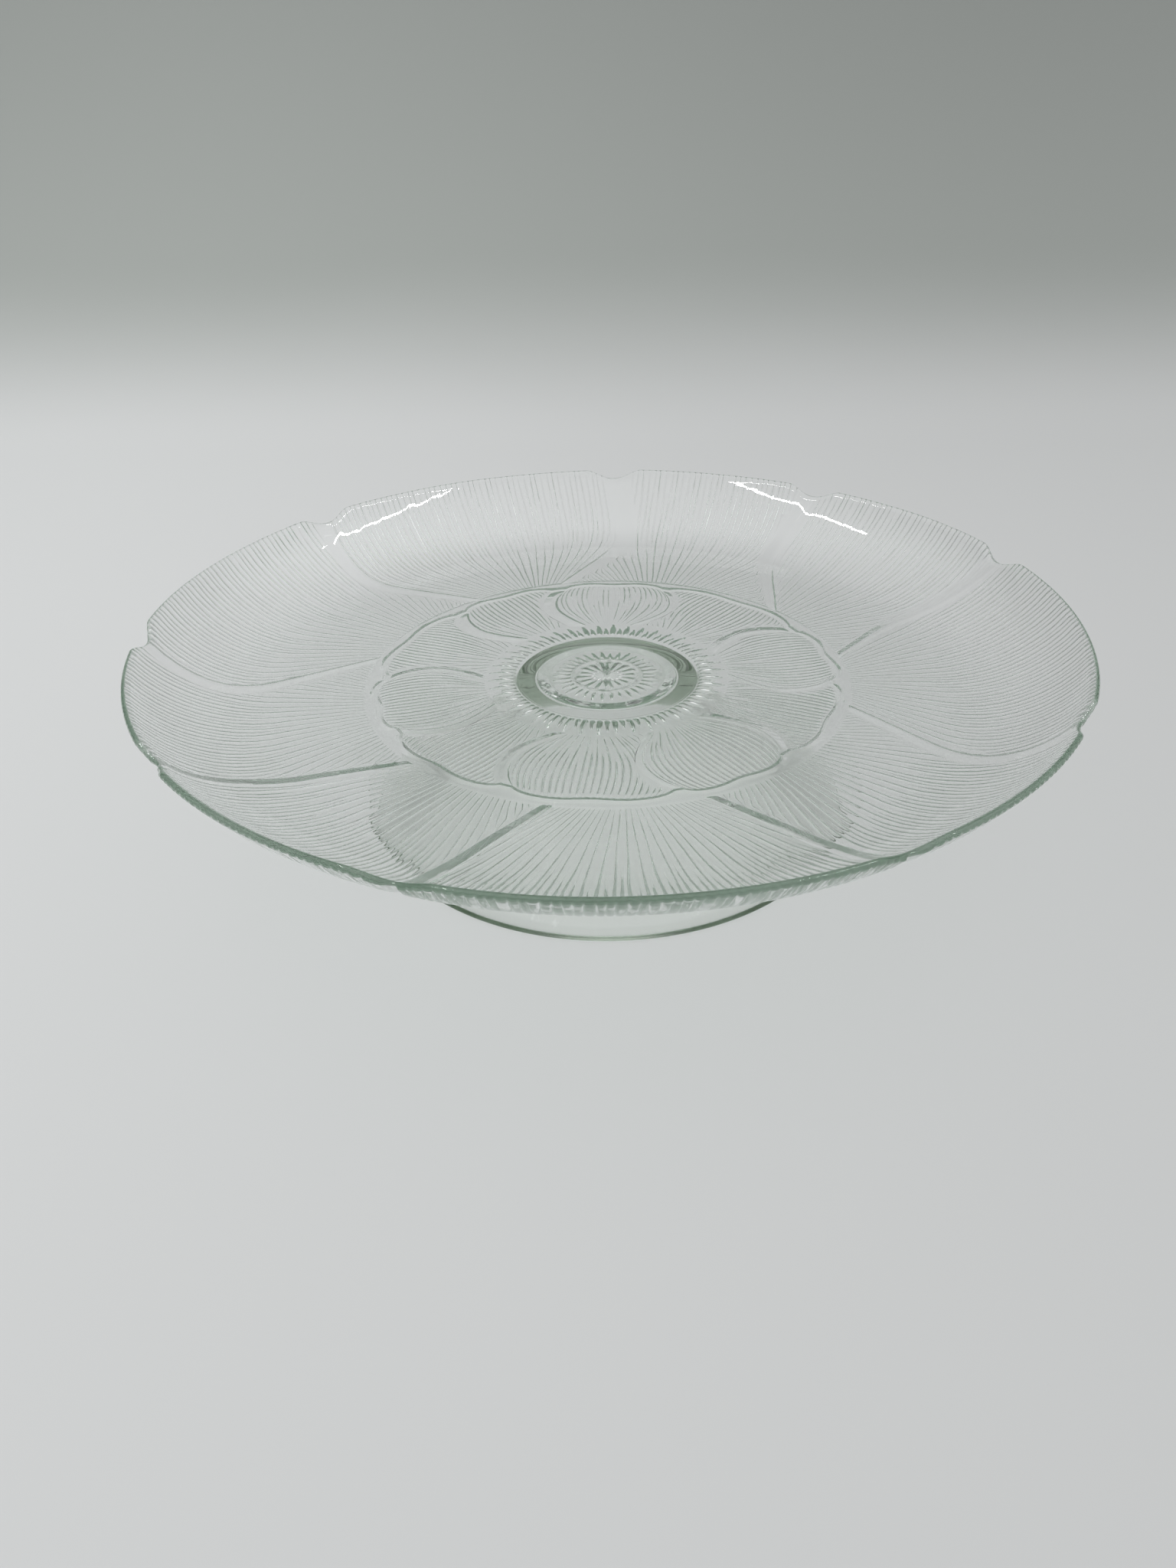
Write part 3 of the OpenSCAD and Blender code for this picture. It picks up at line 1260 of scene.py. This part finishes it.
    def _top(self, shell: Shell, rim: Index, rim_bearing: Array) -> None:
        """The smooth upper face, from the rim's lip down the wall to the middle.

        Args:
            shell: the skin to add to.
            rim: numbers of the rim's last loop.
            rim_bearing: their bearings.
        """
        bearing = even_bearings(self.top_columns)
        climb = np.array(self.top_rows)
        top = self.rim_at(bearing)
        angle = top * climb[:, None]
        rows = self.flat_r + self.dish_r * np.sin(np.radians(self.rim_angle * climb))
        dents = self._dents(rows, bearing) * ease(*self.dent_climb, climb)[:, None]
        below = np.radians(top - angle) * self.dish_r
        lead, seed = self.uneven_seed
        chance = scatter(np.arange(len(bearing)) + lead * np.arange(len(rows))[:, None], seed)
        hills = self.uneven * chance * ease(*self.uneven_climb, climb)[:, None]
        wall = self.curve(angle, self.dish_r + self.lip(below) + dents + hills, bearing, np.array(0.0))
        flat_rows = np.array((self.flat_r - self.top_in, *self.top_flat))[:, None]
        flat = round_axis(flat_rows, np.array(self.top_z), bearing)
        numbers = shell.add(np.concatenate((wall, flat)))
        shell.zip(rim, rim_bearing, numbers[0], bearing)
        shell.skin(numbers)
        inner_bearing = even_bearings(self.middle_columns)
        radius = np.array(self.middle_rows)[:, None]
        inner = shell.add(round_axis(radius, np.array(self.top_z), inner_bearing))
        shell.zip(numbers[-1], bearing, inner[0], inner_bearing)
        shell.skin(inner)
        shell.close_end(inner[-1], np.array((0.0, 0.0, self.top_z)))


# Foot and bond

@dataclass
class Foot:
    """The hollow bell foot: a neck that flares into a straight skirt with a rounded edge.

    Attributes:
        neck_r: outside radius of the neck.
        neck_wall: thickness of the neck's wall.
        neck_lean: lean of the neck's outer face at the seat, from upright.
        flare_r: radius of the hollow curve from the neck to the skirt.
        edge_t: thickness of the skirt's edge.
        land_w: width of the ring that stands on the table.
        land_bend: part of that width over which fire has rounded its inner edge.
        corner: reach of the fire-polished corners at the seat.
        columns: number of columns around the axis.
        edge_steps: points round the skirt's edge.
        flare_steps: points along each curve of the flare.
        corner_steps: points round a corner at the seat.
        skirt_steps: stretches along each face of the skirt; the land's bend takes up the last inside.
        land_steps: points round the land's bend.
    """

    neck_r: float = 33.0
    neck_wall: float = 6.0
    neck_lean: float = 30.0
    flare_r: float = 70.0
    edge_t: float = 2.4
    land_w: float = 4.0
    land_bend: float = 3.6
    corner: float = 0.4
    columns: int = 288
    edge_steps: int = 12
    flare_steps: int = 20
    corner_steps: int = 5
    skirt_steps: int = 8
    land_steps: int = 10

    def __post_init__(self) -> None:
        """Takes the foot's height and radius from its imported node."""
        low, high = node_box("foot")
        self.height = high[2]
        self.base_r = (high[0] - low[0]) / 2.0
        lean = np.radians(self.neck_lean)
        self.flare_at = np.array((self.neck_r + self.flare_r * np.cos(lean),
                                  self.height + self.flare_r * np.sin(lean)))
        self.hollow_r = self.flare_r + self.neck_wall
        self.seat_in = self.flare_at[0] - np.sqrt(self.hollow_r**2 - (self.flare_at[1] - self.height) ** 2)

    def section(self) -> Array:
        """Closed section, from the land out round the edge, up the skirt and down the hollow.

        The skirt's outer face touches the flare and the edge's round. The inner face touches a circle
        about the flare's centre, one wall further out, and meets the land's inner edge.

        Returns:
            Points as distance from the axis and height.
        """
        edge_r = self.edge_t / 2.0
        edge = np.array((self.base_r - edge_r, edge_r))
        land = np.array((self.base_r - edge_r - self.land_w, 0.0))
        outer = self._tangent(edge - self.flare_at, self.flare_r + edge_r)
        inner = self._tangent(land - self.flare_at, self.hollow_r)
        seat_out = np.array((self.neck_r, self.height))
        seat_in = np.array((self.seat_in, self.height))
        inset = np.array((self.corner, 0.0))
        out_turn = self._turn_to(seat_out) + np.degrees(self.corner / self.flare_r)
        in_turn = self._turn_to(seat_in) + np.degrees(self.corner / self.hollow_r)
        rim = arc(tuple(edge), edge_r, -90.0, outer + 180.0, self.edge_steps)
        flare_out = arc(tuple(self.flare_at), self.flare_r, outer, out_turn, self.flare_steps)
        flare_in = arc(tuple(self.flare_at), self.hollow_r, in_turn, inner, self.flare_steps)
        corner_out = bend(flare_out[-1], seat_out, seat_out - inset, self.corner_steps)[1:]
        corner_in = bend(seat_in + inset, seat_in, flare_in[0], self.corner_steps)[:-1]
        skirt_out = self._run(rim[-1], flare_out[0], self.skirt_steps)
        inner_land = land + (flare_in[-1] - land) / self.skirt_steps
        skirt_in = self._run(flare_in[-1], inner_land, self.skirt_steps - 1)
        corner_land = bend(inner_land, land, land + np.array((self.land_bend, 0.0)), self.land_steps)
        outside = (corner_land, rim, skirt_out, flare_out, corner_out)
        return np.concatenate((*outside, corner_in, flare_in, skirt_in))

    def _turn_to(self, point: Array) -> float:
        """Angle from the flare's centre to a point of the section, in degrees."""
        to_point = point - self.flare_at
        return float(np.degrees(np.arctan2(to_point[1], to_point[0])))

    @staticmethod
    def _tangent(to_point: Array, reach: float) -> float:
        """Angle at which a line through a point touches a circle of the given reach, in degrees."""
        return float(np.degrees(np.arctan2(to_point[1], to_point[0])
                                - np.arccos(reach / np.hypot(*to_point))))

    @staticmethod
    def _run(start: Array, end: Array, steps: int) -> Array:
        """Evenly spaced points strictly between two points."""
        return start + (end - start) * (np.arange(1, steps) / steps)[:, None]

    def build(self, material: bpy.types.Material) -> None:
        """Turns the section around the axis.

        Args:
            material: the glass.
        """
        section = self.section()
        shell = Shell()
        bearing = even_bearings(self.columns)
        rows = shell.add(round_axis(section[:, :1], section[:, 1:], bearing))
        shell.skin(np.concatenate((rows, rows[:1])))
        piece = shell.write("bell_foot", material)
        fit(piece, "foot")


@dataclass
class BondRing:
    """The clear ring of adhesive between the foot's seat and the plate.

    Attributes:
        wetting: depth by which the film reaches into both faces, so that light passes from glass to glass.
        bulge: how far its free sides swell.
        bare: margin of bare glass at each edge of the seat.
        rows: rows of points on each free side.
        columns: number of columns around the axis.
    """

    wetting: float = 0.01
    bulge: float = 0.08
    bare: float = 0.5
    rows: int = 7
    columns: int = 192

    def __post_init__(self) -> None:
        """Takes the film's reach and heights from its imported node."""
        low, high = node_box("bond_ring")
        self.low_z = low[2] - self.wetting
        self.high_z = high[2] + self.wetting
        self.outer_r = (high[0] - low[0]) / 2.0

    def build(self, seat: float, material: bpy.types.Material) -> None:
        """Turns the film's section around the axis; its sides are half waves of a sine.

        Args:
            seat: width of the foot's seat.
            material: the clear adhesive.
        """
        width = seat - 2.0 * self.bare
        share = np.linspace(0.0, 1.0, self.rows)
        swell = self.bulge * np.sin(np.pi * share)
        rise = self.low_z + (self.high_z - self.low_z) * share
        outside = np.column_stack((self.outer_r - self.bulge + swell, rise))
        inside = np.column_stack((self.outer_r - width + self.bulge - swell, rise))[::-1]
        section = np.concatenate((outside, inside))
        shell = Shell()
        rows = shell.add(round_axis(section[:, :1], section[:, 1:], even_bearings(self.columns)))
        shell.skin(np.concatenate((rows, rows[:1])))
        piece = shell.write("bond_film", material)
        fit(piece, "bond_ring")


# Studio

@dataclass(frozen=True)
class Strip:
    """A long lamp above the table, along the view.

    Attributes:
        name: name of the lamp.
        x: place across the view, in metres.
        near: its near end, in metres.
        far: its far end, in metres.
        height: height above the table, in metres.
        width: width of the lamp, in metres.
        power: power in watts.
    """

    name: str
    x: float
    near: float
    far: float
    height: float
    width: float
    power: float

    def make(self) -> None:
        """Makes the lamp, facing down."""
        lamp = bpy.data.lights.new(self.name, "AREA")
        lamp.shape = "RECTANGLE"
        lamp.size = self.width
        lamp.size_y = self.far - self.near
        lamp.energy = self.power
        piece = bpy.data.objects.new(self.name, lamp)
        piece.location = (self.x, (self.near + self.far) / 2.0, self.height)
        bpy.context.scene.collection.objects.link(piece)


@dataclass(frozen=True)
class Sweep:
    """Pale paper that lies level, turns up in a quarter circle behind the plate and rises.

    Attributes:
        front: its front edge along Y, in metres.
        back: its back along Y, in metres.
        top: height of its upper edge, in metres.
        turn_r: radius of the turn, in metres.
        half: half its width, in metres.
        clear: gap between the foot and the paper, in metres, so that no two faces coincide.
        turn_rows: rows of points in the turn.
        columns: columns of points across it.
        paper: its material, with painted shade in its colour.
    """

    front: float = -1.5
    back: float = 1.2
    top: float = 0.78
    turn_r: float = 0.75
    half: float = 1.1
    clear: float = 0.0002
    turn_rows: int = 24
    columns: int = 9
    paper: PaperAndPaintedShade = PaperAndPaintedShade()

    def make(self) -> None:
        """Carries the paper's path, a line, an arc and a line, across the view."""
        angle = np.linspace(0.0, np.pi / 2.0, self.turn_rows)
        turn = np.column_stack((self.back - self.turn_r + self.turn_r * np.sin(angle),
                                self.turn_r - self.turn_r * np.cos(angle)))
        path = np.concatenate((np.array([[self.front, 0.0]]), turn, np.array([[self.back, self.top]])))
        path[:, 1] -= self.clear
        across = np.linspace(-self.half, self.half, self.columns)
        grid = np.stack(np.broadcast_arrays(across[None, :], path[:, :1], path[:, 1:]), axis=-1)
        number = np.arange(grid.size // 3).reshape(grid.shape[:2])
        quads = np.stack((number[:-1, :-1], number[:-1, 1:], number[1:, 1:], number[1:, :-1]), axis=-1)
        mesh = bpy.data.meshes.new("pale_sweep")
        mesh.from_pydata(grid.reshape(-1, 3).tolist(), [], quads.reshape(-1, 4).tolist())
        mesh.polygons.foreach_set("use_smooth", np.ones(len(mesh.polygons), bool))
        mesh.materials.append(self.paper.make())
        piece = bpy.data.objects.new("pale_sweep", mesh)
        bpy.context.scene.collection.objects.link(piece)
        piece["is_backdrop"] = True


class Way(enum.Enum):
    """A direction of the sky: the axis that it lies along, and which way along it."""

    UP = (2, 1.0)
    NEAR = (1, -1.0)
    FAR = (1, 1.0)
    LEFT = (0, -1.0)


@dataclass(frozen=True)
class SkyPart:
    """A part of the sky that is brighter or dimmer than the rest.

    Attributes:
        way: where it lies.
        start: share of that way in a direction, from -1 to 1, where the change starts.
        full: share where the change is complete.
        gain: strength that it adds.
    """

    way: Way
    start: float
    full: float
    gain: float


@dataclass(frozen=True)
class Sky:
    """Soft light, brightest overhead and to the right, and dim at the left, behind the plate and the viewer.

    Attributes:
        tint: colour of the light.
        strength: strength of the plain sky.
        parts: where it is brighter or dimmer.
    """

    tint: Colour = (0.985, 1.0, 0.995)
    strength: float = 0.55
    parts: tuple[SkyPart, ...] = (
        SkyPart(Way.UP, 0.2, 0.95, 0.6),
        SkyPart(Way.NEAR, 0.55, 0.95, -0.4),
        SkyPart(Way.FAR, 0.3, 0.7, -0.6),
        SkyPart(Way.LEFT, 0.45, 0.95, -0.3),
    )

    def make(self) -> None:
        """Makes the world: each part adds its gain as a smooth step of the direction's share of its way."""
        world = bpy.data.worlds.new("soft_sky")
        world.use_nodes = True
        bpy.context.scene.world = world
        shader = Shader(world.node_tree)
        axes = shader.split(shader.add("ShaderNodeTexCoord", {}, {}).outputs["Generated"])
        strength: Number = self.strength
        for part in self.parts:
            axis, sign = part.way.value
            strength = strength + (axes[axis] * sign).ease(part.start, part.full) * part.gain
        sky = shader.add("ShaderNodeBackground", {}, {"Color": (*self.tint, 1.0), "Strength": strength})
        shader.add("ShaderNodeOutputWorld", {}, {"Surface": sky.outputs[0]})


@dataclass(frozen=True)
class PhotoCamera:
    """The camera at the photograph's place.

    Attributes:
        eye: its place, in metres.
        yaw: turn of the view to the right of +Y, in radians.
        pitch: tilt of the view below level, in radians.
        roll: turn of the picture about the view, in radians.
        focal_px: focal length in pixels of the photograph.
        image: width and height of the photograph, in pixels.
        sensor: width of the sensor, in millimetres.
        clip: nearest and farthest distance that it sees, in metres.
    """

    eye: Place = (0.0, -0.3895, 0.2526)
    yaw: float = -0.020
    pitch: float = 0.565
    roll: float = -0.023
    focal_px: float = 1550.0
    image: tuple[int, int] = (1536, 2048)
    sensor: float = 36.0
    clip: Point = (0.01, 50.0)

    def make(self) -> None:
        """Makes the camera: yaw and pitch aim it, and roll turns its picture."""
        cos_yaw, sin_yaw = np.cos(self.yaw), np.sin(self.yaw)
        cos_pitch, sin_pitch = np.cos(self.pitch), np.sin(self.pitch)
        ahead = Vector((sin_yaw * cos_pitch, cos_yaw * cos_pitch, -sin_pitch))
        right = Vector((cos_yaw, -sin_yaw, 0.0))
        above = right.cross(ahead)
        across = right * np.cos(self.roll) + above * np.sin(self.roll)
        upward = above * np.cos(self.roll) - right * np.sin(self.roll)
        turn = Matrix((across, upward, -ahead)).transposed()
        data = bpy.data.cameras.new("photo_camera")
        data.sensor_width = self.sensor
        data.lens = self.focal_px * self.sensor / max(self.image)
        data.clip_start, data.clip_end = self.clip
        camera = bpy.data.objects.new("photo_camera", data)
        camera.matrix_world = Matrix.Translation(self.eye) @ turn.to_4x4()
        bpy.context.scene.collection.objects.link(camera)
        bpy.context.scene.camera = camera


@dataclass(frozen=True)
class Studio:
    """Pale sweep, soft sky, two strip lamps and the camera.

    Attributes:
        sweep: the paper under and behind the plate.
        sky: the soft light.
        strips: the lamps.
        camera: the camera.
        bounces: how often light may be refracted or reflected in the glass.
        see_through: how many clear faces light may cross on its way to a lamp.
        glare: greatest brightness of one sample of indirect light.
    """

    sweep: Sweep = Sweep()
    sky: Sky = Sky()
    strips: tuple[Strip, ...] = (
        Strip("left_strip", x=-0.485, near=-0.46, far=0.38, height=1.0, width=0.03, power=2.0),
        Strip("right_strip", x=0.57, near=-0.42, far=0.46, height=1.0, width=0.03, power=2.0),
    )
    camera: PhotoCamera = PhotoCamera()
    bounces: int = 96
    see_through: int = 32
    glare: float = 1.5

    def build(self) -> None:
        """Makes the sweep, the sky, the lamps and the camera, and sets how light passes through glass."""
        self.sweep.make()
        self.sky.make()
        for strip in self.strips:
            strip.make()
        self.camera.make()
        scene = bpy.context.scene
        scene.view_settings.view_transform = "Standard"
        scene.cycles.max_bounces = self.bounces
        scene.cycles.transmission_bounces = self.bounces
        scene.cycles.transparent_max_bounces = self.see_through
        scene.cycles.glossy_bounces = self.bounces
        scene.cycles.sample_clamp_indirect = self.glare
        scene.cycles.caustics_reflective = False
        scene.cycles.caustics_refractive = False


def main() -> None:
    """Builds the studio and the three pieces, and reports each piece."""
    logging.basicConfig(level=logging.INFO, format="%(name)s: %(message)s")
    Studio().build()
    Plate().build(GlassFinish("plate_glass").make())
    foot = Foot()
    foot.build(GlassFinish("foot_glass", absorption=(8.4, 6.6, 8.6), shade=(0.98, 0.985, 0.982)).make())
    film = GlassFinish("clear_bond", absorption=(6.0, 4.0, 8.0), index=1.5)
    BondRing().build(foot.neck_r - foot.seat_in, film.make())


if __name__ == "__main__":
    main()
